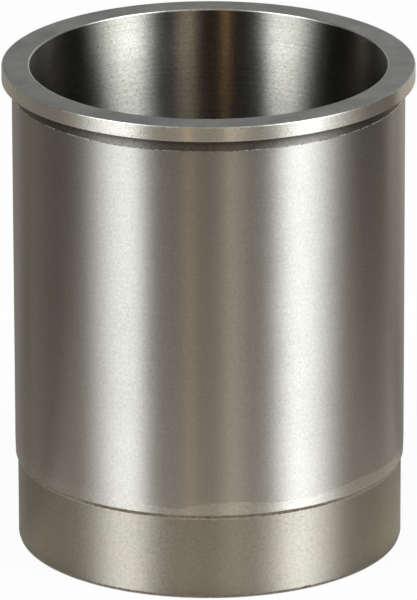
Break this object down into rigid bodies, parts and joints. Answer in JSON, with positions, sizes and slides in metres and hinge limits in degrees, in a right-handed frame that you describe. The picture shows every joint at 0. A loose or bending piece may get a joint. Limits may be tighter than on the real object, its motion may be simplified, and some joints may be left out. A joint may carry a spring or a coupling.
{
  "type": "cylinder liner",
  "caption": "Flanged dry cylinder liner: a turned iron sleeve with a top flange, a relief under it, a ground body and a slightly smaller lower end.",
  "frame": {"origin": "centre of the foot face, on the bore's axis", "axes": "+Z along the bore's axis, from the foot towards the flange; X and Y are arbitrary, because the part is round"},
  "size_m": [0.117, 0.117, 0.1409],
  "materials": {
    "machined_iron": "satin, turned and ground"
  },
  "bodies": {
    "root": {"cylinder_liner": "machined_iron"}
  },
  "joints": []
}
